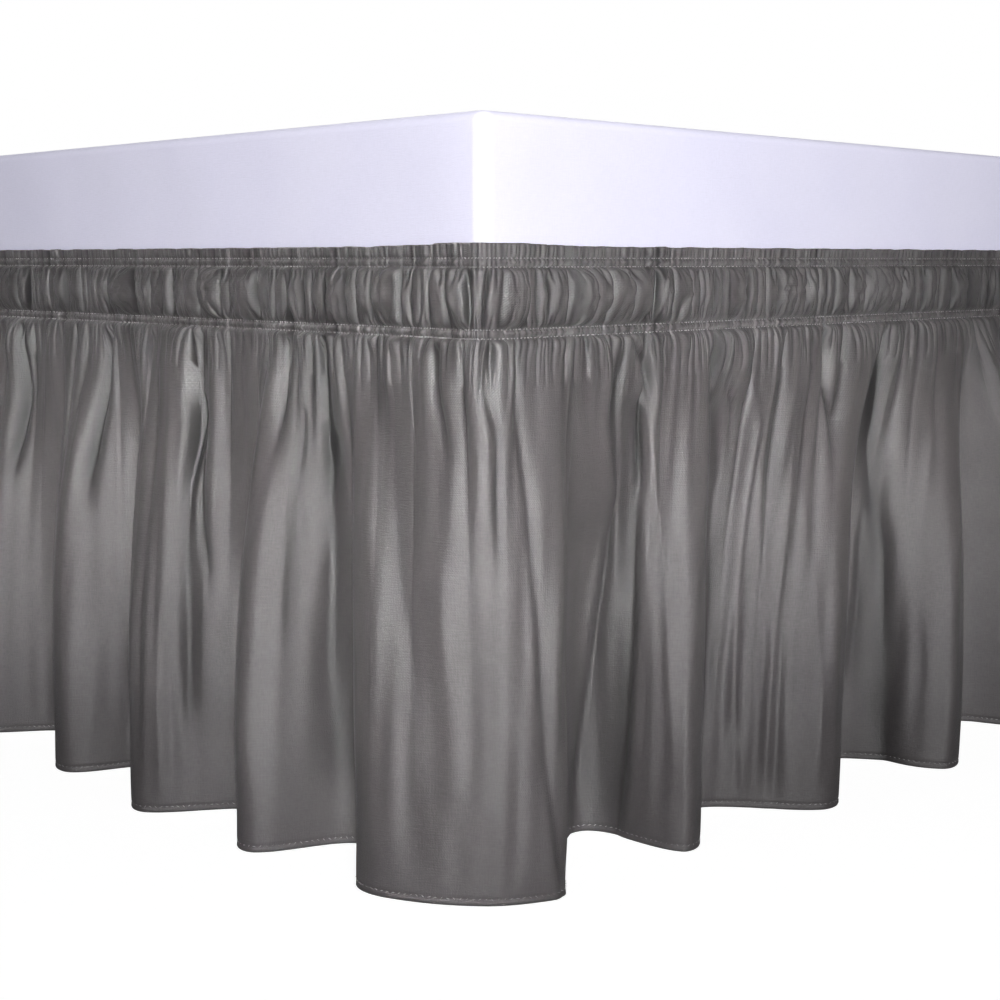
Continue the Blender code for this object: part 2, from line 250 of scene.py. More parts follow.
# each by height: share of the hem's shape, and how far out stand the fine gathers, the pleats of
# the puffed band, paired gathers, wide pleats of the drop, and folds a hand's breadth apart
byHeight = {
    "hemShare": (
        (0.4062, 0.0), (0.3482, 0.0), (0.3450, 0.003), (0.3400, 0.010), (0.3300, 0.036), (0.3120, 0.105),
        (0.2850, 0.250), (0.2460, 0.470), (0.1900, 0.720), (0.1200, 0.900), (0.0500, 0.980), (0.0, 1.0),
    ),
    "fine": (
        (0.4062, 0.0042), (0.4020, 0.0040), (0.3994, 0.0034), (0.3987, 0.0024), (0.3960, 0.0042),
        (0.3932, 0.0022), (0.3915, 0.0032), (0.3880, 0.0016), (0.3830, 0.0006), (0.3760, 0.0),
        (0.3680, 0.0002), (0.3610, 0.0016), (0.3572, 0.0030), (0.3552, 0.0024), (0.3525, 0.0044),
        (0.3497, 0.0024), (0.3482, 0.0034), (0.3450, 0.0024), (0.3400, 0.0010), (0.3300, 0.0002),
        (0.3120, 0.0), (0.0, 0.0),
    ),
    "puffs": (
        (0.4062, 0.0), (0.3960, 0.0), (0.3932, 0.0002), (0.3915, 0.0030), (0.3880, 0.0064),
        (0.3830, 0.0082), (0.3760, 0.0088), (0.3680, 0.0080), (0.3610, 0.0056), (0.3572, 0.0022),
        (0.3552, 0.0002), (0.3525, 0.0), (0.0, 0.0),
    ),
    "pairs": (
        (0.4062, 0.0), (0.3497, 0.0), (0.3482, 0.0012), (0.3450, 0.0028), (0.3400, 0.0032),
        (0.3300, 0.0020), (0.3120, 0.0006), (0.2850, 0.0001), (0.2460, 0.0), (0.0, 0.0),
    ),
    "fours": (
        (0.4062, 0.0), (0.3525, 0.0), (0.3497, 0.0002), (0.3482, 0.0008), (0.3450, 0.0022),
        (0.3400, 0.0042), (0.3300, 0.0068), (0.3120, 0.0088), (0.2850, 0.0074), (0.2460, 0.0040),
        (0.1900, 0.0015), (0.1200, 0.0005), (0.0500, 0.0005), (0.0, 0.0),
    ),
    "hands": (
        (0.4062, 0.0), (0.3482, 0.0), (0.3450, 0.0002), (0.3400, 0.0004), (0.3300, 0.0010),
        (0.3120, 0.0022), (0.2850, 0.0034), (0.2460, 0.0044), (0.1900, 0.0038), (0.1200, 0.0026),
        (0.0500, 0.0010), (0.0, 0.0),
    ),
}


def curveAt(height, kind):
    # a smooth curve through one table of values by height, which never overshoots it
    heights, values = np.array(byHeight[kind])[::-1].T
    steps = np.diff(values) / np.diff(heights)
    slopes = np.zeros(len(values))
    before, after = steps[:-1], steps[1:]
    rising = before * after > 0
    slopes[1:-1][rising] = 2 * before[rising] * after[rising] / (before + after)[rising]
    slopes[0], slopes[-1] = steps[0], steps[-1]
    height = np.clip(height, heights[0], heights[-1])
    i = np.clip(np.searchsorted(heights, height, side="right") - 1, 0, len(heights) - 2)
    gap = heights[i + 1] - heights[i]
    t = (height - heights[i]) / gap
    ease = eased(t)
    bend = t * (1 - t) ** 2 * slopes[i] - t * t * (1 - t) * slopes[i + 1]
    return values[i] * (1 - ease) + values[i + 1] * ease + bend * gap


def unevenValleys(rng, pitch):
    # valley places all the way round, at uneven steps of the gathers' outer face
    grid = foldPlan["firstValley"] + np.linspace(0, wayRound, 20001)
    turned = sum(np.clip((grid - corner) / cornerArc + 0.5, 0, 1) for corner in cornerPlaces)
    outer = grid - grid[0] + turned * gathering["cornerGain"]
    steps = []
    while sum(steps) < outer[-1] or len(steps) % 2:
        steps.append(rng.uniform(*pitch))
    return np.interp(np.r_[0, np.cumsum(steps)] * outer[-1] / sum(steps), outer, grid)


def everyFew(rng, valleys, few):
    # some of these valleys, so that small gathers run together into wider ones
    picked, i = [0], 0
    while i < len(valleys) - 1:
        i = min(i + rng.randint(*few), len(valleys) - 1)
        picked.append(i)
    if len(picked) > 2 and picked[-1] - picked[-2] < few[0]:
        picked.pop(-2)
    return np.array(picked)


def crests(place, cells, rounded):
    # 0 in a deep slot and up to the pleat's size on the crest between, which is partly rounded and
    # partly flat; then how far it leans, painted shade from 1 in a deep slot to 0 on the crest, and its
    # number
    valleys = cells["valleys"]
    i = np.clip(np.searchsorted(valleys, place, side="right") - 1, 0, len(valleys) - 2)
    share = (place - valleys[i]) / (valleys[i + 1] - valleys[i])
    across = np.abs(2 * share - 1)
    slot = cells["slots"][i + (share > 0.5)]
    crest = 1 - slot * (rounded * across**2 + (1 - rounded) * across ** cells["flat"])
    return cells["sizes"][i] * crest, cells["leans"][i], slot * across**2.5, i


def closedNoise(rng, waves, count):
    # uneven and smooth along the outline, meeting itself after one turn, about -1 to 1
    parts = [(rng.randint(*waves), rng.uniform(0, 2 * math.pi), rng.uniform(0.5, 1)) for _ in range(count)]

    def noise(place):
        turn = 2 * math.pi * (place - foldPlan["firstValley"]) / wayRound
        return sum(size * np.sin(number * turn + phase) for number, phase, size in parts) / math.sqrt(count)

    return noise


def gatherCells(rng, valleys, kind):
    # wide pleats stand out further, each by its own chance, lean their own way, and have a slot of
    # its own depth at each valley
    drawn = gathering[kind]
    widths = np.clip(np.diff(valleys) / drawn["usual"], 0.4, 1.5)
    cells = {
        "valleys": valleys,
        "flat": drawn["flat"],
        "sizes": widths**0.8 * np.array([rng.uniform(*drawn["sizes"]) for _ in widths]),
        "leans": np.array([rng.uniform(-drawn["lean"], drawn["lean"]) for _ in widths]),
        "fades": np.array([rng.uniform(*gathering["fades"]) for _ in widths]),
        "slots": np.array([min(1.0, rng.uniform(*drawn["slots"]) ** 2) for _ in valleys]),
    }
    cells["slots"][-1] = cells["slots"][0]
    return cells


rng = random.Random(gathering["seed"])
fineValleys = unevenValleys(rng, gathering["drawnPitch"])
puffPicked = everyFew(rng, fineValleys, gathering["puffGathers"])
pairPicked = everyFew(rng, fineValleys, gathering["pairGathers"])
fourPicked = pairPicked[everyFew(rng, pairPicked, gathering["fourGathers"])]
fineCells = gatherCells(rng, fineValleys, "fine")
pairCells = gatherCells(rng, fineValleys[pairPicked], "pairs")
fourCells = gatherCells(rng, fineValleys[fourPicked], "fours")
puffCells = gatherCells(rng, fineValleys[puffPicked], "puffs")
uneven = {name: closedNoise(rng, *drawn) for name, drawn in gathering["noises"].items()}


def crumpleNoise(rng, waves, upward, count):
    # uneven in both directions over the cloth, about -1 to 1
    parts = []
    for _ in range(count):
        number, up = rng.randint(*waves), rng.uniform(-upward, upward)
        parts.append((number, up, rng.uniform(0, 2 * math.pi), rng.uniform(0.5, 1)))

    def noise(place, height):
        turn = 2 * math.pi * (place - foldPlan["firstValley"]) / wayRound
        waves = (size * np.sin(number * turn + up * height + phase) for number, up, phase, size in parts)
        return sum(waves) / math.sqrt(count)

    return noise


puffCrumple = crumpleNoise(rng, (200, 620), 420, 14)
dropCrumple = crumpleNoise(rng, (60, 330), 60, 14)


def drawnShortCreases():
    drawn, creases = gathering["shortCreases"], []
    for i in sorted(set(range(1, len(fineValleys) - 1)) - set(puffPicked)):
        if rng.random() < drawn["chance"]:
            sizes = [rng.uniform(*drawn[word]) for word in ("length", "depth", "half", "slant")]
            creases.append((fineValleys[i], *sizes))
    return creases


upperCreases, lowerCreases = drawnShortCreases(), drawnShortCreases()


def smallFolds(place):
    # the uneven folds a hand's breadth apart that the solids have too
    turn = 2 * math.pi * place / gathering["handPitch"]
    return 0.5 + 0.5 * np.sin(turn + 0.9 * np.sin(turn * 0.31) + 0.7 * np.sin(turn * 0.17))


def dips(place, creases, reached):
    # how much of the relief is left beside short creases, where reached is the way from the casing
    left = np.ones(len(place))
    for start, length, depth, half, slant in creases:
        if reached >= length:
            continue
        fade = 1 - (reached / length) ** 1.5
        width = half * (1 + 1.6 * reached / length)
        middle = start + slant * reached
        near = slice(*np.searchsorted(place, (middle - 4 * width, middle + 4 * width)))
        left[near] *= 1 - depth * fade * np.exp(-np.abs((place[near] - middle) / width) ** 1.5)
    return left


casings = {"upperTop": 0.3987, "upperFoot": 0.3932, "lowerTop": 0.3552, "lowerFoot": 0.3497}
bandTall = casings["upperFoot"] - casings["lowerTop"]
puffShape = {
    "rounded": 0.25,  # how round a pleat's crest is
    "least": 0.05,  # share of its height that is left in a slot
    "facets": 0.14,  # how much its crumpled faces add
    "shut": 0.7,  # how much painted shade a short crease gets beside a slot
}


def puffRelief(place, height):
    # how far the puffed band stands out, how far it leans over, and 0 to 1 from painted crease shade to an
    # unshaded crest
    if not casings["lowerTop"] < height < casings["upperFoot"]:
        return 0, 0, 1
    fromUpper, fromLower = casings["upperFoot"] - height, height - casings["lowerTop"]
    bulge = math.sin(math.pi * fromUpper / bandTall)
    pleats, leans, shut, _ = crests(place, puffCells, puffShape["rounded"])
    cuts = dips(place, upperCreases, fromUpper)
    cuts *= dips(place, lowerCreases, fromLower)
    facets = 1 - 2 * np.minimum(np.abs(puffCrumple(place, height)), 1)
    shape = puffShape["least"] + (1 - puffShape["least"]) * pleats * cuts
    stand = curveAt(height, "puffs") * (shape + puffShape["facets"] * facets * bulge * pleats)
    # painted shade in the slots and beside the short creases, where the band bulges out
    inCrease = np.clip(shut + puffShape["shut"] * (1 - cuts), 0, 1)
    return stand, stand * leans * pleats, 1 - np.minimum(1, 3 * bulge) * inCrease


# creases and ridges placed one by one at the corner of the photograph, in millimetres. Each has its
# depth (below 0 for a ridge), its half widths before and after its line, and its line as
# (place, height) points
handCreases = (
    (12, 7, 8, (-550, 346), (-548, 315), (-547, 283), (-553, 235)),
    (11, 6, 7, (-415, 346), (-423, 307), (-431, 275), (-437, 230)),
    (-2, 8, 10, (-448, 300), (-452, 200), (-452, 60)),
    (11, 6, 7, (-290, 346), (-294.5, 300), (-297.5, 255)),
    (5, 7, 14, (-296, 300), (-297.5, 240), (-297.5, 200), (-293, 122), (-291, 70)),
    (5, 3, 5, (-287, 300), (-287, 245), (-283, 208), (-275, 180)),
    (-2, 8, 10, (-318, 310), (-320, 240), (-322, 120), (-322, 40)),
    (9, 3, 5, (-188, 348), (-188, 316), (-188, 285)),
    (-2.5, 5, 7, (-178, 265), (-169, 237), (-161, 196), (-161, 150)),
    (11, 4, 7, (-147, 348), (-149, 320), (-149, 293), (-146, 262)),
    (6, 8, 12, (-147, 285), (-146, 252), (-144, 208), (-145, 135), (-142, 50)),
    (4.5, 4, 6, (-166, 300), (-169.5, 240), (-170, 197), (-171.5, 155)),
    (-2, 8, 9, (-200, 320), (-202, 240), (-202, 120), (-200, 50)),
    (2.4, 10, 13, (-80, 320), (-74, 252), (-66, 185), (-51, 140), (-48, 86), (-52, 30)),
    (6, 3, 5, (-31, 348), (-30, 318), (-25, 285)),
    (5.5, 3, 4, (3.5, 348), (1, 316), (7.5, 290), (7.5, 237)),
    (3.2, 3, 6, (20, 346), (24, 299), (32, 252), (37, 196), (41, 147), (46, 86), (54, 37), (61, 9)),
    (5, 4, 8, (117, 335), (111, 291), (110, 250), (107, 205), (100, 170), (89, 110), (78, 30)),
    (-2.5, 5, 5, (90, 332), (89, 291), (76, 244), (81, 182)),
    (11, 2, 3, (127, 349), (135, 337), (147, 322)),
    (8, 2.5, 3, (143, 349), (142.5, 336), (147, 322)),
    (11, 2, 3, (135, 338), (141.5, 320), (141.5, 291), (143.5, 262)),
    (6, 22, 6, (140, 310), (141, 268), (135, 183), (126.5, 98), (116, 10)),
    (-3, 5, 9, (145, 295), (163, 220), (168, 183), (172, 147), (178, 70)),
    (4.5, 8, 10, (214, 335), (218, 305), (236, 268), (244, 228), (255, 80)),
    (6, 2, 4, (232, 312), (243.5, 299), (249, 288)),
    (-3, 5, 4.5, (247, 330), (270, 295), (278, 280), (278, 182), (280, 90), (293, 30)),
    (3.6, 5, 8, (292, 335), (295, 268), (300, 230)),
    (-2.4, 6, 8, (285, 250), (303, 183), (318, 122), (316, 40)),
    (-2, 7, 9, (336, 230), (358, 170), (368, 110), (371, 40)),
    (9, 3, 6, (346, 348), (356, 315), (372, 270)),
    (12, 4, 7, (435, 348), (436, 310), (438, 270)),
    (6.5, 14, 12, (436, 320), (440, 260), (465, 172), (472, 86), (474.5, 0)),
    (4, 5, 4, (446, 190), (449, 130), (446, 70)),
    (-3, 6, 9, (508, 265), (498, 183), (502, 135), (507, 90)),
)
# the same kind of creases elsewhere, thin lines, and soft ones among those listed above, drawn
# from these ranges: how many to a deep fold, depth, half width, where they start and end in
# height, how far they wander, and how many of them are ridges
looseCreases = {
    "broad": {
        "count": (3, 5), "depth": (0.0040, 0.0110), "half": (0.004, 0.009),
        "top": (0.250, 0.345), "foot": (0.020, 0.230), "wander": 0.012, "ridgeShare": 0.35,
    },
    "thin": {
        "count": (5, 8), "depth": (0.0010, 0.0036), "half": (0.0020, 0.0045),
        "top": (0.200, 0.347), "foot": (0.010, 0.240), "wander": 0.007, "ridgeShare": 0.5,
    },
    "besideHand": {
        "count": (0, 2), "depth": (0.0010, 0.0026), "half": (0.0050, 0.0090),
        "top": (0.200, 0.330), "foot": (0.010, 0.180), "wander": 0.006, "ridgeShare": 0.5,
    },
    "handPlaces": (-0.70, 0.66),
    "seed": 31,
}


def inMetres(size):
    return tuple(inMetres(part) for part in size) if isinstance(size, tuple) else size / 1000


def drawnCreases(chance, start, end, kind):
    creases = []
    for _ in range(chance.randint(*kind["count"])):
        depth = chance.uniform(*kind["depth"])
        if chance.random() < kind["ridgeShare"]:
            depth *= -0.6
        middle = chance.uniform(start + 0.005, end - 0.005)
        top, foot = chance.uniform(*kind["top"]), chance.uniform(*kind["foot"])
        foot = min(foot, top - 0.05)
        line = [
            (middle + chance.uniform(-0.5, 0.5) * kind["wander"], top + (foot - top) * i / 3)
            for i in range(4)
        ]
        creases.append((depth, chance.uniform(*kind["half"]), chance.uniform(*kind["half"]), *line))
    return creases


def allCreases():
    chance = random.Random(looseCreases["seed"])
    creases = [inMetres(crease) for crease in handCreases]
    first, last = looseCreases["handPlaces"]
    for start, end in zip(foldStarts[:-1], foldStarts[1:]):
        kinds = ("besideHand",) if first < start < last else ("broad", "thin")
        for kind in kinds:
            creases += drawnCreases(chance, start, end, looseCreases[kind])
    return creases


creases = allCreases()
creaseShape = {
    "above": 0.004,  # how far above its top a crease starts, and the height in which it forms
    "forms": 0.014,
    "below": 0.03,  # how far below its foot it ends, and the height in which it dies away
    "dies": 0.05,
    "reach": 5,  # half widths from its line to where nothing is left of it
    "trough": 1.5,  # how soft troughs and ridges are, from 1, sharp, to 2, round
    "ridge": 1.15,
}


def creaseRelief(place, height):
    # the soft troughs and sharper ridges that run down the drop, for places in rising order
    total, shape = np.zeros(len(place)), creaseShape
    for depth, before, after, *line in creases:
        high, low = line[0][1], line[-1][1]
        if not low - shape["below"] < height < high + shape["above"]:
            continue
        places, heights = zip(*line[::-1])
        here = np.interp(height, heights, places)
        grown = 0.75 + 0.5 * (high - height) / (high - low + 0.01)
        fadeIn = min(1.0, max(0.0, (high + shape["above"] - height) / shape["forms"]))
        fadeOut = min(1.0, max(0.0, (height - low + shape["below"]) / shape["dies"]))
        if low <= 0.001:  # it runs down to the floor
            fadeOut = 1.0
        amount = -depth * eased(fadeIn) * eased(fadeOut)
        for middle in (here - wayRound, here, here + wayRound):
            reach = shape["reach"] * max(before, after) * grown
            near = slice(*np.searchsorted(place, (middle - reach, middle + reach)))
            away = (place[near] - middle) / grown
            away = np.where(away < 0, away / before, away / after)
            total[near] += amount * np.exp(-np.abs(away) ** shape["trough" if depth > 0 else "ridge"])
    return total


# how far creases wander along the cloth: slanting and bowed across the puffed band, and swaying
# below it by a share of their fall, as far as the last fall named here
wander = {"slant": 0.0030, "bow": 0.0013, "sway": 0.040, "swayFall": 0.10}


def drifted(gather, height):
    # where the cloth that leaves the gathers at each place is at this height, since creases wander
    band = (casings["upperFoot"] - height) / bandTall
    place = gather + uneven["slant"](gather) * wander["slant"] * min(1.0, max(0.0, band))
    if 0 < band < 1:
        return place + uneven["bow"](gather) * wander["bow"] * math.sin(math.pi * band)
    fallen = min(wander["swayFall"], max(0.0, casings["lowerFoot"] - height))
    return place + uneven["sway"](gather) * wander["sway"] * fallen


dropShape = {
    "flat": 0.65,  # how flat a crest is at the gathers, and the fall over which it rounds off
    "rounds": 0.12,
    "calms": 0.07,  # the fall over which pleats calm down among the creases listed one by one
    "opens": 0.09,  # the fall over which the painted shade in slots fades
    # height of paired and of wide pleats from which their slots get full painted shade
    "pairsFullShade": 0.0060,
    "foursFullShade": 0.0075,
    "creaseFullShade": 0.014,  # depth of a loose crease whose painted shade is as dark as a slot's
}


def dropRelief(gather, place, height):
    # the same below the casings, where the pleats grow rounder and die out on the way down
    if height > casings["lowerFoot"]:
        return 0, 0, 1
    fallen = casings["lowerFoot"] - height
    rounded = 1 - dropShape["flat"] * math.exp(-fallen / dropShape["rounds"])
    left = np.interp(place, *zip(*foldPlan["calm"]))
    calmed = 1 - (1 - left) * min(1.0, fallen / dropShape["calms"])
    stand, sideways, crease = np.zeros(len(place)), np.zeros(len(place)), np.ones(len(place))
    kinds = (
        (pairCells, "pairs", 1.0, dropShape["pairsFullShade"]),
        (fourCells, "fours", calmed, dropShape["foursFullShade"]),
    )
    for cells, kind, keep, full in kinds:
        pleats, leans, shut, i = crests(gather, cells, rounded)
        tall = curveAt(casings["lowerFoot"] - fallen * cells["fades"][i], kind) * keep
        stand += pleats * tall
        sideways += pleats * tall * leans
        # painted shade in the slots of paired and wide pleats, fading on the way down
        crease -= shut * np.clip(tall / full, 0, 1) ** 1.5 * math.exp(-fallen / dropShape["opens"])
    hands = smallFolds(place) * curveAt(height, "hands") * calmed
    loose = creaseRelief(place, height)
    # painted shade in the troughs of loose creases
    crease = np.clip(crease + np.minimum(loose, 0) / dropShape["creaseFullShade"], 0, 1)
    return stand + hands + loose, sideways, crease


def relief(gather, place, height):
    # how far the cloth stands out from its deep folds, how far it leans along, and 0 to 1 from
    # the full painted shade at the bottom of a crease to unshaded open cloth
    fine, leans, shut, _ = crests(gather, fineCells, gathering["fineRounded"])
    tall = curveAt(height, "fine")
    puff, puffLean, puffCrease = puffRelief(gather, height)
    drop, dropLean, dropCrease = dropRelief(gather, place, height)
    # painted shade in the slots of the fine gathers
    crease = np.minimum(puffCrease, dropCrease) - shut * min(1, tall / gathering["fineShadedFrom"])
    sideways = fine * tall * leans + puffLean + dropLean
    return fine * tall + puff + drop, sideways, np.clip(crease, 0, 1)


clothCut = {
    "seamAt": -0.720,
    "seamAllowance": 0.004,
    "seamGap": 0.0003,
    "cornerRise": 0.002,
    "cornerRiseSpan": 0.060,
    "tuckFrom": 0.014,  # how far below the base's lower edge the cloth starts to tuck in
    "tuckSlope": 0.30,
    "pushSoft": (0.0002, 0.0015),  # how softly it is pushed clear at the gathers, and more at the hem
    "pushFrom": 0.10,  # rows lower than this aren't pushed clear
    "ruffle": (0.0075, 0.0003),  # how tall the ruffle is, and how far its edge wavers
    "pieces": ("skirt_foot_left", "skirt_foot_right", "skirt_head_right", "skirt_head_left"),
}


def clearOfBase(points, height, share):
    # cloth beside the base stays outside it, and may tuck in below it
    half = np.array([bedBase["width"] / 2, bedBase["length"] / 2])
    below = max(0.0, bedBase["bottom"] - clothCut["tuckFrom"] - height)
    limit = gathering["clearance"] - clothCut["tuckSlope"] * below
    gaps = np.abs(points) - half
    axis = np.argmax(gaps, 1)
    rows = np.arange(len(points))
    gap = gaps[rows, axis]
    soft = clothCut["pushSoft"][0] + clothCut["pushSoft"][1] * share
    over = (gap - limit) / soft
    wanted = np.where(over > 12, gap, limit + soft * np.log1p(np.exp(np.minimum(over, 12))))
    deep = gaps.min(1) < -bedBase["cornerRadius"]
    points[rows[deep], axis[deep]] = (np.sign(points[rows, axis]) * (half[axis] + wanted))[deep]
    return points


def squareOut(points):
    # unit vectors pointing out of a closed plan loop
    along = np.roll(points, -1, 0) - np.roll(points, 1, 0)
    along /= np.linalg.norm(along, axis=1)[:, None]
    return np.stack([along[:, 1], -along[:, 0]], 1), along


def riseAt(place):
    # the ruffle stands a little higher at the corners
    nearest = np.min([np.abs(wrapped(place) - wrapped(np.array(corner))) for corner in cornerPlaces], 0)
    return clothCut["cornerRise"] * np.exp(-((nearest / clothCut["cornerRiseSpan"]) ** 2))


def faded(noise, kind, fallen, height):
    # unevenness that grows below the casings and dies away at the floor
    size, below, above = gathering[kind]
    return noise * size * min(1, fallen / below) * min(1, height / above)


def clothRow(gather, height, inward=0.0, lift=0.0):
    # the cloth's points at one height, for places in rising order round the whole loop
    share = curveAt(height, "hemShare")
    place = drifted(gather, height)
    hem, _ = hemPoints(place)
    plan = outlinePoints(place, gathering["clearance"]) * (1 - share) + hem * share
    out, along = squareOut(plan)
    stand, sideways, crease = relief(gather, place, height)
    fallen = max(0.0, casings["lowerFoot"] - height)
    ripple = faded(uneven["ripple"](place + 0.11 * height), "ripples", fallen, height)
    ripple = ripple + faded(dropCrumple(place, height), "crumples", fallen, height)
    plan = plan + out * (stand + ripple + lift)[:, None] + along * sideways[:, None]
    if height > clothCut["pushFrom"]:
        plan = clearOfBase(plan, height, share)
    plan = plan - out * inward
    ruffle, waver = clothCut["ruffle"]
    aboveCasing = np.clip((height - casings["upperTop"]) / ruffle, 0, 1)
    tall = height + aboveCasing * (riseAt(place) + uneven["edge"](place) * waver)
    return np.column_stack([plan, np.broadcast_to(tall, place.shape), crease])


# rows of the cloth from its turned top edge to its turned hem: height, how far inward it is of the
# face, and how many fine columns one of its own spans
gatheredHeights = (
    0.4060, 0.4050, 0.4032, 0.4012, 0.3998, 0.3990, 0.3985, 0.3974, 0.3960, 0.3946, 0.3934, 0.3929,
    0.3920, 0.3906, 0.3886, 0.3862, 0.3835, 0.3805, 0.3773, 0.3740, 0.3707, 0.3675, 0.3645, 0.3618,
    0.3594, 0.3574, 0.3559, 0.3552, 0.3540, 0.3525, 0.3510, 0.3499, 0.3494, 0.3484, 0.3468, 0.3446,
    0.3418, 0.3384, 0.3344, 0.3298, 0.3246,
)
rowPlan = (
    [(0.3998, 0.0010, 1), (0.4052, 0.0011, 1), (0.4061, 0.0005, 1)]
    + [(height, 0.0, 1) for height in gatheredHeights]
    + [(0.3185 - 0.0078 * step, 0.0, 2) for step in range(13)]
    + [(0.2140 - 0.0122 * step, 0.0, 2) for step in range(17)]
    + [(0.0105, 0.0, 2), (0.0078, 0.0, 2), (0.0057, 0.0001, 2), (0.0045, 0.0006, 2), (0.0034, 0.0, 2)]
    + [(0.0014, -0.0001, 2), (0.0003, 0.0003, 2), (0.0004, 0.0010, 2), (0.0070, 0.0010, 2)]
)


def seamGathers():
    # numbers of the fine gathers that start each panel, in the valleys nearest to even shares
    seams = []
    for turn in range(len(clothCut["pieces"])):
        sought = wrapped(clothCut["seamAt"] + turn * wayRound / len(clothCut["pieces"]))
        valley = min(foldStarts[:-1], key=lambda start: abs(start - sought))
        seams.append(2 * int(np.argmin(np.abs(fineValleys[:-1:2] - valley))))
    return seams


gatherWidths = np.diff(fineValleys)[:, None]
columnPlaces = (fineValleys[:-1, None] + gatherWidths * np.array(gathering["columnShares"])).ravel()
panelStarts = [seam * len(gathering["columnShares"]) for seam in seamGathers()]


def panelNumbers(turn):
    # numbers of the columns of one panel, from its first seam up to the next
    start, end = panelStarts[turn], panelStarts[(turn + 1) % len(panelStarts)]
    return np.arange(start, end + 1 + (len(columnPlaces) if end < start else 0)) % len(columnPlaces)


def bridgeFaces(upper, lower):
    # faces between two rows of point numbers, where the upper one may have twice the columns
    if len(upper) == len(lower):
        return list(zip(upper[:-1], lower[:-1], lower[1:], upper[1:]))
    faces = []
    for i, (left, right) in enumerate(zip(lower[:-1], lower[1:])):
        a, b, c = upper[2 * i: 2 * i + 3]
        faces += [(a, left, b), (b, left, right), (b, right, c)]
    return faces


def linked(name, data):
    obj = bpy.data.objects.new(name, data)
    bpy.context.scene.collection.objects.link(obj)
    return obj


def panelMesh(name, rows, cloth):
    points, coords, openness, faces, numbers = [], [], [], [], []
    for (height, _, _), row, lengths in zip(rowPlan, rows, cloth):
        ids = list(range(len(points), len(points) + len(row)))
        points += row[:, :3].tolist()
        openness += row[:, 3].tolist()
        coords += [(length, height) for length in lengths]
        if numbers:
            faces += bridgeFaces(numbers, ids)
        numbers = ids
    mesh = bpy.data.meshes.new(name)
    mesh.from_pydata(points, [], faces)
    layer = mesh.uv_layers.new(name="clothWay")
    corners = np.zeros(len(mesh.loops), np.int32)
    mesh.loops.foreach_get("vertex_index", corners)
    layer.data.foreach_set("uv", np.array(coords, np.float32)[corners].ravel())
    # painted crease shade, 1 on open cloth down to 0 at the bottom of a crease
    unshadedCloth = mesh.attributes.new("unshadedCloth", "FLOAT", "POINT")
    unshadedCloth.data.foreach_set("value", np.array(openness, np.float32))
    mesh.shade_smooth()
    return linked(name, mesh)


def pieceName(node):
    words = node.split("_")
    return words[0] + "".join(word.capitalize() for word in words[1:])


def makePanels():
    rows = [clothRow(columnPlaces, height, inward) for height, inward, _ in rowPlan]
    _, clothLength = hemPoints(columnPlaces)
    panels = []
    for turn, node in enumerate(clothCut["pieces"]):
        numbers = panelNumbers(turn)
        lengths = clothLength[numbers].copy()
        lengths[lengths < lengths[0] - 1e-9] += clothStarts[-1]
        panelRows, panelCloth = [], []
        for row, (_, _, span) in zip(rows, rowPlan):
            run = row[numbers[::span]].copy()
            for edge, inside in ((0, 1), (-1, -2)):
                side = run[inside, :2] - run[edge, :2]
                side /= np.linalg.norm(side)
                inwards = np.array([-side[1], side[0]]) * (1 if edge == 0 else -1)
                run[edge, :2] += side * clothCut["seamGap"] / 2 + inwards * clothCut["seamAllowance"]
            panelRows.append(run)
            panelCloth.append(lengths[::span])
        panels.append(panelMesh(pieceName(node), panelRows, panelCloth))
        print(f"{node}: {lengths[-1] - lengths[0]:.3f} m of cloth, {len(panels[-1].data.polygons)} faces")
    return panels


panels = makePanels()

studio = {
    "cameraPlace": (-1.183, -1.6655, 0.397),
    "turn": 45.42,
    "tilt": 8.40,
    "focalLength": 58.295,
    "sensor": 36.0,
    "clip": (0.01, 200.0),
    "floorSize": 30.0,
    "backdropStrength": 1.0,
    "roomStrength": 0.03,
    "floorGlow": 0.94,  # added for the camera alone, so that the floor looks white
    # name: place, what it points at, width, height, power, and how wide its light spreads in degrees
    "lights": {
        "mainLight": ((-2.00, -2.75, 1.05), (-0.50, -0.95, 0.25), 0.7, 0.7, 37.0, 180),
        "coverLight": ((-2.00, -2.75, 1.05), (-0.50, -0.95, 0.25), 0.7, 0.7, 56.0, 180),
        "gatherLight": ((-2.41, -2.95, 1.08), (-0.59, -0.96, 0.37), 1.0, 0.12, 1.05, 10),
        "cornerLight": ((-2.41, -2.95, 1.08), (-0.60, -1.02, 0.17), 0.15, 0.15, 0.17, 9),
        "backLight": ((2.30, 2.60, 2.60), (0.30, 0.55, 0.25), 1.4, 1.4, 90.0, 180),
    },
}


def aimed(name, data, place, target):
    obj = linked(name, data)
    obj.location = place
    obj.rotation_euler = (Vector(target) - Vector(place)).to_track_quat("-Z", "Y").to_euler()
    return obj


def makeCamera():
    turn, tilt = math.radians(studio["turn"]), math.radians(studio["tilt"])
    lens = bpy.data.cameras.new("camera")
    lens.sensor_width, lens.lens = studio["sensor"], studio["focalLength"]
    lens.clip_start, lens.clip_end = studio["clip"]
    way = Vector((math.cos(turn) * math.cos(tilt), math.sin(turn) * math.cos(tilt), -math.sin(tilt)))
    place = Vector(studio["cameraPlace"])
    bpy.context.scene.camera = aimed("camera", lens, place, place + way)


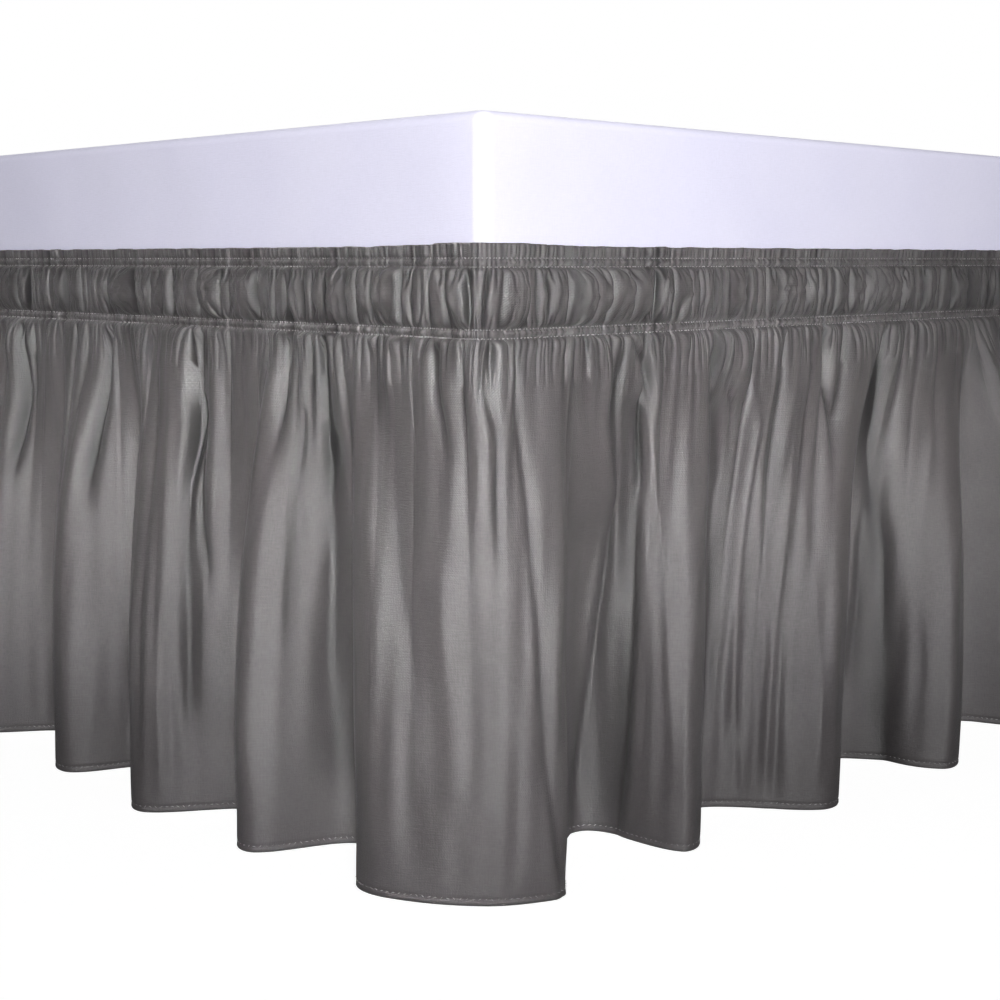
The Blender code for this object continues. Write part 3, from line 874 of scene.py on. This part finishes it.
def makeLights():
    for name, (place, target, width, height, power, spread) in studio["lights"].items():
        light = bpy.data.lights.new(name, "AREA")
        light.shape, light.size, light.size_y, light.energy = "RECTANGLE", width, height, power
        light.spread = math.radians(spread)
        aimed(name, light, place, target)
    world = bpy.data.worlds.new("paleRoom")
    bpy.context.scene.world = world
    world.use_nodes = True
    nodes, links = world.node_tree.nodes, world.node_tree.links
    nodes.clear()
    seen = nodes.new("ShaderNodeLightPath")
    strength = nodes.new("ShaderNodeMix")
    strength.inputs["A"].default_value = studio["roomStrength"]
    strength.inputs["B"].default_value = studio["backdropStrength"]
    background = nodes.new("ShaderNodeBackground")
    background.inputs["Color"].default_value = (1.0, 1.0, 1.0, 1.0)
    output = nodes.new("ShaderNodeOutputWorld")
    links.new(seen.outputs["Is Camera Ray"], strength.inputs["Factor"])
    links.new(strength.outputs["Result"], background.inputs["Strength"])
    links.new(background.outputs["Background"], output.inputs["Surface"])
    bpy.context.scene.view_settings.view_transform = "Standard"


makeCamera()
makeLights()
print("camera and lights set")


def groupTree(name, inputs, outputs):
    tree = bpy.data.node_groups.new(name, "ShaderNodeTree")
    for label, kind, value in inputs:
        socket = tree.interface.new_socket(name=label, in_out="INPUT", socket_type="NodeSocket" + kind)
        if value is not None:
            socket.default_value = value
    for label, kind in outputs:
        tree.interface.new_socket(name=label, in_out="OUTPUT", socket_type="NodeSocket" + kind)
    return tree, tree.nodes.new("NodeGroupInput"), tree.nodes.new("NodeGroupOutput")


def add(tree, kind, settings=(), **inputs):
    # a node whose inputs are values or other nodes' sockets
    node = tree.nodes.new(kind)
    for word, value in dict(settings).items():
        setattr(node, word, value)
    for word, value in inputs.items():
        word = int(word[2:]) if word.startswith("at") and word[2:].isdigit() else word.replace("_", " ")
        if isinstance(value, bpy.types.NodeSocket):
            tree.links.new(value, node.inputs[word])
        else:
            node.inputs[word].default_value = value
    return node


def calc(tree, operation, a, b=0.0):
    return add(tree, "ShaderNodeMath", {"operation": operation}, at0=a, at1=b).outputs[0]


def makeWeaveGroup():
    # threads over and under each other, with slubs, from coordinates in metres
    tree, given, result = groupTree(
        "threadWeave",
        (("Coordinates", "Vector", None), ("Thread Width", "Float", 0.0004), ("Slub", "Float", 0.5)),
        (("Tone", "Float"), ("Height", "Float")),
    )
    split = add(tree, "ShaderNodeSeparateXYZ", Vector=given.outputs["Coordinates"])
    turns = calc(tree, "DIVIDE", math.pi, given.outputs["Thread Width"])
    across = calc(tree, "SINE", calc(tree, "MULTIPLY", split.outputs["X"], turns))
    upward = calc(tree, "SINE", calc(tree, "MULTIPLY", split.outputs["Y"], turns))
    weave = calc(tree, "MULTIPLY", across, upward)
    slubs = []
    for stretch in ((150.0, 1100.0, 150.0), (1100.0, 150.0, 150.0)):
        scaled = add(
            tree, "ShaderNodeVectorMath", {"operation": "MULTIPLY"},
            at0=given.outputs["Coordinates"], at1=stretch,
        )
        noise = add(
            tree, "ShaderNodeTexNoise", Vector=scaled.outputs[0], Scale=1.0, Detail=2.0, Roughness=0.6
        )
        slubs.append(calc(tree, "SUBTRACT", noise.outputs["Fac"], 0.5))
    slub = calc(tree, "MULTIPLY", calc(tree, "ADD", *slubs), given.outputs["Slub"])
    tone = calc(tree, "ADD", calc(tree, "MULTIPLY", weave, 0.12), slub)
    tree.links.new(calc(tree, "ADD", tone, 0.5), result.inputs["Tone"])
    tree.links.new(calc(tree, "ADD", calc(tree, "MULTIPLY", weave, 0.35), slub), result.inputs["Height"])
    return tree


def makePatchGroup():
    # slow, uneven change from one colour to another
    tree, given, result = groupTree(
        "slowPatches",
        (
            ("Coordinates", "Vector", None), ("Patch Size", "Float", 0.05), ("Amount", "Float", 1.0),
            ("Deep", "Color", (0, 0, 0, 1)), ("Pale", "Color", (1, 1, 1, 1)), ("Shift", "Float", 0.0),
        ),
        (("Color", "Color"), ("Mask", "Float")),
    )
    scale = calc(tree, "DIVIDE", 1.0, given.outputs["Patch Size"])
    noise = add(
        tree, "ShaderNodeTexNoise",
        Vector=given.outputs["Coordinates"], Scale=scale, Detail=3.0, Roughness=0.55,
    )
    centred = calc(tree, "SUBTRACT", noise.outputs["Fac"], 0.5)
    centred = calc(tree, "MULTIPLY", centred, given.outputs["Amount"])
    shifted = calc(tree, "ADD", calc(tree, "ADD", centred, given.outputs["Shift"]), 0.5)
    mask = add(tree, "ShaderNodeClamp", Value=shifted).outputs[0]
    mixed = add(
        tree, "ShaderNodeMix", {"data_type": "RGBA"},
        at0=mask, at6=given.outputs["Deep"], at7=given.outputs["Pale"],
    )
    tree.links.new(mixed.outputs[2], result.inputs["Color"])
    tree.links.new(mask, result.inputs["Mask"])
    return tree


weaveGroup = makeWeaveGroup()
patchGroup = makePatchGroup()


def startMaterial(name, roughness, **sockets):
    material = bpy.data.materials.new(name)
    material.use_nodes = True
    tree = material.node_tree
    shader = tree.nodes["Principled BSDF"]
    shader.inputs["Roughness"].default_value = roughness
    for word, value in sockets.items():
        shader.inputs[word.replace("_", " ")].default_value = value
    return material, tree, shader


def placed(tree, group, **inputs):
    return add(tree, "ShaderNodeGroup", {"node_tree": group}, **inputs)


def wovenMaterial(name, finish):
    # cloth with a weave, slow patches of tone and a slightly uneven gloss
    material, tree, shader = startMaterial(name, finish["roughness"], Sheen_Weight=finish["sheen"])
    shader.inputs["Sheen Roughness"].default_value = 0.45
    shader.inputs["Specular IOR Level"].default_value = finish["gloss"]
    if finish["follows"] == "cloth":
        way = add(tree, "ShaderNodeUVMap", {"uv_map": "clothWay"}).outputs["UV"]
    else:
        way = add(tree, "ShaderNodeTexCoord").outputs["Object"]
    threads = way
    if finish["follows"] == "sides":
        # on upright sides the threads run along the side and up it, and on top from corner to corner
        split = add(tree, "ShaderNodeSeparateXYZ", Vector=way)
        along = calc(tree, "ADD", split.outputs["X"], split.outputs["Y"])
        across = calc(tree, "SUBTRACT", split.outputs["X"], split.outputs["Y"])
        level = calc(tree, "GREATER_THAN", split.outputs["Z"], bedBase["top"] - 0.0005)
        up = calc(tree, "ADD", split.outputs["Z"], calc(tree, "MULTIPLY", across, level))
        threads = add(tree, "ShaderNodeCombineXYZ", X=along, Y=up).outputs[0]
    weave = placed(
        tree, weaveGroup, Coordinates=threads, Thread_Width=finish["thread"], Slub=finish["slub"]
    )
    patches = placed(
        tree, patchGroup, Coordinates=way, Patch_Size=finish["patch"], Amount=finish["patchy"],
        Deep=(*finish["deep"], 1.0), Pale=(*finish["pale"], 1.0),
    )
    toned = calc(tree, "MULTIPLY", weave.outputs["Tone"], finish["weaveTone"])
    shade = calc(tree, "ADD", toned, 1 - finish["weaveTone"] / 2)
    if finish["follows"] == "cloth":
        # painted shade: the cloth's colour is darker down in the creases, where shade falls
        unshadedCloth = add(tree, "ShaderNodeAttribute", {"attribute_name": "unshadedCloth"}).outputs["Fac"]
        spread = calc(tree, "MULTIPLY", calc(tree, "POWER", unshadedCloth, 2.0), 1 - finish["paintedCreaseShade"])
        depth = calc(tree, "ADD", spread, finish["paintedCreaseShade"])
        shade = calc(tree, "MULTIPLY", shade, depth)
    tinted = add(
        tree, "ShaderNodeVectorMath", {"operation": "SCALE"},
        at0=patches.outputs["Color"], Scale=shade,
    )
    tree.links.new(tinted.outputs[0], shader.inputs["Base Color"])
    glossier = calc(tree, "MULTIPLY", weave.outputs["Tone"], 0.16)
    rough = calc(tree, "ADD", glossier, finish["roughness"] - 0.08)
    tree.links.new(rough, shader.inputs["Roughness"])
    bump = add(
        tree, "ShaderNodeBump", Height=weave.outputs["Height"], Strength=finish["bump"], Distance=0.0004
    )
    tree.links.new(bump.outputs[0], shader.inputs["Normal"])
    return material


finishes = {
    "brushedMicrofibre": {
        "deep": (0.0950, 0.0870, 0.0892), "pale": (0.1220, 0.1118, 0.1145), "follows": "cloth",
        "roughness": 0.40, "sheen": 0.06, "gloss": 0.85, "thread": 0.00045, "slub": 1.0,
        # the last value is the share of the colour left under the painted shade at the bottom of a crease
        "patch": 0.06, "patchy": 2.0, "weaveTone": 0.55, "bump": 0.5, "paintedCreaseShade": 0.12,
    },
    "paleBaseCover": {
        "deep": (0.805, 0.790, 0.965), "pale": (0.840, 0.825, 0.985), "follows": "sides",
        "roughness": 0.85, "sheen": 0.10, "gloss": 0.3, "thread": 0.0006, "slub": 0.8,
        "patch": 0.09, "patchy": 2.2, "weaveTone": 0.10, "bump": 0.4,
    },
    "wovenElastic": {
        "deep": (0.140, 0.131, 0.135), "pale": (0.200, 0.190, 0.194), "follows": "sides",
        "roughness": 0.70, "sheen": 0.05, "gloss": 0.4, "thread": 0.0008, "slub": 0.6,
        "patch": 0.02, "patchy": 1.5, "weaveTone": 0.5, "bump": 0.8,
    },
}


def threadMaterial():
    # sewing thread, paler on some stitches than on others
    material, tree, shader = startMaterial("paleThread", 0.55, Sheen_Weight=0.2)
    way = add(tree, "ShaderNodeTexCoord").outputs["Object"]
    patches = placed(
        tree, patchGroup, Coordinates=way, Patch_Size=0.02, Amount=3.5,
        Deep=(0.15, 0.14, 0.145, 1.0), Pale=(0.58, 0.565, 0.565, 1.0),
    )
    tree.links.new(patches.outputs["Color"], shader.inputs["Base Color"])
    return material


def plasticMaterial():
    # dark moulded plastic with a fine grain and scuffs near the floor
    material, tree, shader = startMaterial("mouldedPlastic", 0.42)
    way = add(tree, "ShaderNodeTexCoord").outputs["Object"]
    up = add(tree, "ShaderNodeSeparateXYZ", Vector=way).outputs["Z"]
    scuffs = placed(
        tree, patchGroup, Coordinates=way, Patch_Size=0.006, Amount=3.0,
        Deep=(0.020, 0.020, 0.022, 1.0), Pale=(0.075, 0.073, 0.072, 1.0),
        Shift=calc(tree, "SUBTRACT", -0.25, calc(tree, "MULTIPLY", up, 2.0)),
    )
    grain = add(tree, "ShaderNodeTexNoise", Vector=way, Scale=900.0, Detail=2.0)
    tree.links.new(scuffs.outputs["Color"], shader.inputs["Base Color"])
    rough = calc(tree, "ADD", calc(tree, "MULTIPLY", scuffs.outputs["Mask"], 0.25), 0.36)
    tree.links.new(rough, shader.inputs["Roughness"])
    bump = add(tree, "ShaderNodeBump", Height=grain.outputs["Fac"], Strength=0.25, Distance=0.0003)
    tree.links.new(bump.outputs[0], shader.inputs["Normal"])
    return material


def floorMaterial():
    material, tree, shader = startMaterial("paleFloor", 0.7)
    way = add(tree, "ShaderNodeTexCoord").outputs["Object"]
    patches = placed(
        tree, patchGroup, Coordinates=way, Patch_Size=0.8, Amount=1.0,
        Deep=(0.20, 0.20, 0.201, 1.0), Pale=(0.22, 0.22, 0.221, 1.0),
    )
    tree.links.new(patches.outputs["Color"], shader.inputs["Base Color"])
    seen = add(tree, "ShaderNodeLightPath").outputs["Is Camera Ray"]
    tree.links.new(calc(tree, "MULTIPLY", seen, studio["floorGlow"]), shader.inputs["Emission Color"])
    shader.inputs["Emission Strength"].default_value = 1.0
    return material


clothFinish, baseFinish, elasticFinish = (wovenMaterial(*finish) for finish in finishes.items())
threadFinish = threadMaterial()
plasticFinish = plasticMaterial()
print("materials made")


def dress(obj, material):
    obj.data.materials.clear()
    obj.data.materials.append(material)


for panel, node in zip(panels, clothCut["pieces"]):
    dress(panel, clothFinish)
    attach(panel, "root")
    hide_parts(node)


coverCut = {
    "cornerSteps": 10,
    "edgeSteps": 7,
    "sideStep": 0.030,
    "sideRings": 9,
    # how uneven the cover is where it shows, and how far it may stand out and is drawn in there
    "waver": 0.0007,
    "standOut": 0.0008,
    "drawnIn": 0.0004,
    "showsFrom": 0.41,
    "seed": 3,
}


def coverPlaces():
    # places round the base, close together at its corners
    places = []
    steps = coverCut["cornerSteps"]
    for corner, straight in zip(cornerPlaces, straightSides):
        places += [corner + cornerArc * (step / steps - 0.5) for step in range(steps)]
        count = round(straight / coverCut["sideStep"])
        places += [corner + cornerArc / 2 + straight * step / count for step in range(count)]
    return np.array(places)


def makeBase():
    # a soft-edged block: rings up its sides and over its edges, then closed across both faces
    chance = random.Random(coverCut["seed"])
    places = coverPlaces()
    waves = [closedNoise(chance, (8, 60), 7) for _ in range(3)]
    soft, low, high = bedBase["softEdge"], bedBase["bottom"], bedBase["top"]
    turns = [step / coverCut["edgeSteps"] * math.pi / 2 for step in range(coverCut["edgeSteps"] + 1)]
    rings = [(soft * (math.sin(turn) - 1), low + soft * (1 - math.cos(turn))) for turn in turns]
    sideRings = coverCut["sideRings"]
    rings += [(0.0, low + soft + (high - low - 2 * soft) * (i + 1) / sideRings) for i in range(sideRings)]
    rings += [(out, high + low - height) for out, height in rings[len(turns) - 2::-1]]
    points, faces = [], []
    for number, (out, height) in enumerate(rings):
        free = max(0.0, min(1.0, (height - coverCut["showsFrom"]) / 0.02))
        free *= max(0.0, min(1.0, (high - height) / 0.01))
        waver = sum(wave(places + 0.7 * height) for wave in waves) * coverCut["waver"] * free / 2
        waver = np.minimum(waver, coverCut["standOut"])
        ring = outlinePoints(places, out + waver - coverCut["drawnIn"] * free)
        points += np.column_stack([ring, np.full(len(places), height)]).tolist()
        if number:
            first, before = number * len(places), (number - 1) * len(places)
            for i in range(len(places)):
                after = (i + 1) % len(places)
                faces.append((before + i, before + after, first + after, first + i))
    last = (len(rings) - 1) * len(places)
    faces.append(tuple(range(len(places)))[::-1])
    faces.append(tuple(range(last, last + len(places))))
    mesh = bpy.data.meshes.new("bedBaseCover")
    mesh.from_pydata(points, [], faces)
    mesh.shade_smooth()
    mesh.polygons[len(faces) - 1].use_smooth = False
    mesh.polygons[len(faces) - 2].use_smooth = False
    return linked("bedBaseCover", mesh)


baseCover = makeBase()
dress(baseCover, baseFinish)
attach(baseCover, "root")
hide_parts("bed_base")
for name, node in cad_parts.items():
    if name.startswith("elastic"):
        dress(node, elasticFinish)
    if name.startswith("leg"):
        dress(node, plasticFinish)
print("base, elastics and legs dressed")


# stitch pitch, stitch length, thread width, how far it stands off the cloth
casingStitch = (0.0029, 0.0017, 0.00095, 0.0004)
hemStitch = (0.0040, 0.0029, 0.00060, -0.0003)
pulledStitch = (0.0024, 0.0030, 0.00085, 0.001)
stitching = {
    # each row's height and its kind of stitch
    "rows": {
        "ruffleRow": (casings["upperTop"], *casingStitch),
        "upperPuffRow": (casings["upperFoot"], *casingStitch),
        "lowerPuffRow": (casings["lowerTop"], *casingStitch),
        "dropRow": (casings["lowerFoot"], *casingStitch),
        "hemRow": (0.0045, *hemStitch),
    },
    # threads pulled straight at the corner: height, first and last place
    "pulled": {
        "upperThread": (casings["upperFoot"], -0.064, -0.003),
        "lowerThread": (casings["lowerFoot"], -0.052, -0.004),
    },
    "turned": 0.7,
    "pulledTurned": 0.1,
    "seed": 21,
}


def stitchTree():
    # geometry nodes that lay one stitch after another along lines of points
    tree = bpy.data.node_groups.new("rowOfStitches", "GeometryNodeTree")
    tree.interface.new_socket(name="Rows", in_out="INPUT", socket_type="NodeSocketGeometry")
    for label, kind in (
        ("Stitch Pitch", "Float"), ("Stitch Length", "Float"), ("Thread Width", "Float"),
        ("Turned", "Float"), ("Seed", "Int"), ("Thread", "Material"),
    ):
        tree.interface.new_socket(name=label, in_out="INPUT", socket_type="NodeSocket" + kind)
    tree.interface.new_socket(name="Stitches", in_out="OUTPUT", socket_type="NodeSocketGeometry")
    given, result = tree.nodes.new("NodeGroupInput"), tree.nodes.new("NodeGroupOutput")
    lines = add(tree, "GeometryNodeMeshToCurve", Mesh=given.outputs["Rows"])
    spaced = add(
        tree, "GeometryNodeResampleCurve", {"mode": "LENGTH"},
        Curve=lines.outputs[0], Length=given.outputs["Stitch Pitch"],
    )
    knot = add(tree, "GeometryNodeMeshUVSphere", Segments=4, Rings=2, Radius=0.5)
    size = add(
        tree, "ShaderNodeCombineXYZ",
        X=given.outputs["Thread Width"], Y=given.outputs["Thread Width"], Z=given.outputs["Stitch Length"],
    )
    along = add(
        tree, "FunctionNodeAlignRotationToVector", {"axis": "Z"},
        Vector=tree.nodes.new("GeometryNodeInputTangent").outputs[0],
    )
    wobble = add(tree, "FunctionNodeRandomValue", {"data_type": "FLOAT"})
    tree.links.new(given.outputs["Turned"], wobble.inputs[3])
    tree.links.new(calc(tree, "MULTIPLY", given.outputs["Turned"], -1.0), wobble.inputs[2])
    tree.links.new(given.outputs["Seed"], wobble.inputs["Seed"])
    tilt = add(tree, "ShaderNodeCombineXYZ", X=wobble.outputs[1], Y=wobble.outputs[1])
    tiltTurn = add(tree, "FunctionNodeEulerToRotation", Euler=tilt.outputs[0])
    turned = add(
        tree, "FunctionNodeRotateRotation", {"rotation_space": "LOCAL"},
        Rotation=along.outputs[0], Rotate_By=tiltTurn.outputs[0],
    )
    sewn = add(
        tree, "GeometryNodeInstanceOnPoints", Points=spaced.outputs[0], Instance=knot.outputs["Mesh"],
        Rotation=turned.outputs[0], Scale=size.outputs[0],
    )
    real = add(tree, "GeometryNodeRealizeInstances", Geometry=sewn.outputs[0])
    smooth = add(tree, "GeometryNodeSetShadeSmooth", Geometry=real.outputs[0])
    coated = add(
        tree, "GeometryNodeSetMaterial",
        Geometry=smooth.outputs[0], Material=given.outputs["Thread"],
    )
    tree.links.new(coated.outputs[0], result.inputs["Stitches"])
    return tree


def sewnRow(tree, name, points, pitch, length, width, turned):
    # one row of stitches along a line of points, as a plain mesh
    mesh = bpy.data.meshes.new(name)
    mesh.from_pydata(points.tolist(), [(i, i + 1) for i in range(len(points) - 1)], [])
    obj = linked(name, mesh)
    modifier = obj.modifiers.new("stitches", "NODES")
    modifier.node_group = tree
    values = {
        "Stitch Pitch": pitch, "Stitch Length": length, "Thread Width": width,
        "Turned": turned, "Seed": stitching["seed"], "Thread": threadFinish,
    }
    for socket in tree.interface.items_tree:
        if socket.in_out == "INPUT" and socket.name in values:
            modifier[socket.identifier] = values[socket.name]
    bpy.context.view_layer.update()
    made = bpy.data.meshes.new_from_object(obj.evaluated_get(bpy.context.evaluated_depsgraph_get()))
    bpy.data.objects.remove(obj)
    return made


def joinedStitches(name, meshes):
    points, faces, count = [], [], 0
    for mesh in meshes:
        points += [tuple(vertex.co) for vertex in mesh.vertices]
        faces += [tuple(count + i for i in face.vertices) for face in mesh.polygons]
        count += len(mesh.vertices)
    joined = bpy.data.meshes.new(name)
    joined.from_pydata(points, [], faces)
    joined.shade_smooth()
    joined.materials.append(threadFinish)
    return linked(name, joined)


def makeStitches():
    tree = stitchTree()
    loops = {}
    for name, (height, _, _, _, lift) in stitching["rows"].items():
        loops[name] = clothRow(columnPlaces, height, lift=lift)[:, :3]
    pieces = []
    for turn, node in enumerate(clothCut["pieces"]):
        inside = panelNumbers(turn)[4:-4]
        rows = []
        for name, (_, *sizes, _) in stitching["rows"].items():
            rows.append(sewnRow(tree, f"{name}{turn}", loops[name][inside], *sizes, stitching["turned"]))
        for name, (height, first, last) in stitching["pulled"].items():
            pulled = inside[(columnPlaces[inside] > first) & (columnPlaces[inside] < last)]
            if len(pulled) == 0:
                continue
            *sizes, lift = pulledStitch
            line = clothRow(columnPlaces, height, lift=lift)[pulled, :3]
            line[1:-1] = (line[:-2] + line[1:-1] + line[2:]) / 3
            rows.append(sewnRow(tree, name, line, *sizes, stitching["pulledTurned"]))
        pieces.append(joinedStitches(pieceName(node) + "Stitches", rows))
        print(f"{node}: {len(pieces[-1].data.polygons)} faces of stitches")
    return pieces


stitches = makeStitches()
for panel, sewn in zip(panels, stitches):
    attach(sewn, "root")


def lightOnly(name, pieces):
    # this light shines on these pieces alone, since the pale base and the dark cloth need their own
    lit = bpy.data.collections.new(name + "Pieces")
    for piece in pieces:
        lit.objects.link(piece)
    bpy.data.objects[name].light_linking.receiver_collection = lit


lightOnly("coverLight", [baseCover])
lightOnly("gatherLight", panels + stitches)
lightOnly("cornerLight", panels + stitches)

for panel, sewn in zip(panels, stitches):
    cloth = np.zeros(len(panel.data.loops) * 2, np.float32)
    panel.data.uv_layers["clothWay"].data.foreach_get("uv", cloth)


def makeFloor():
    half = studio["floorSize"] / 2
    mesh = bpy.data.meshes.new("floor")
    corners = [(-half, -half, 0), (half, -half, 0), (half, half, 0), (-half, half, 0)]
    mesh.from_pydata(corners, [], [(0, 1, 2, 3)])
    obj = linked("floor", mesh)
    dress(obj, floorMaterial())


makeFloor()
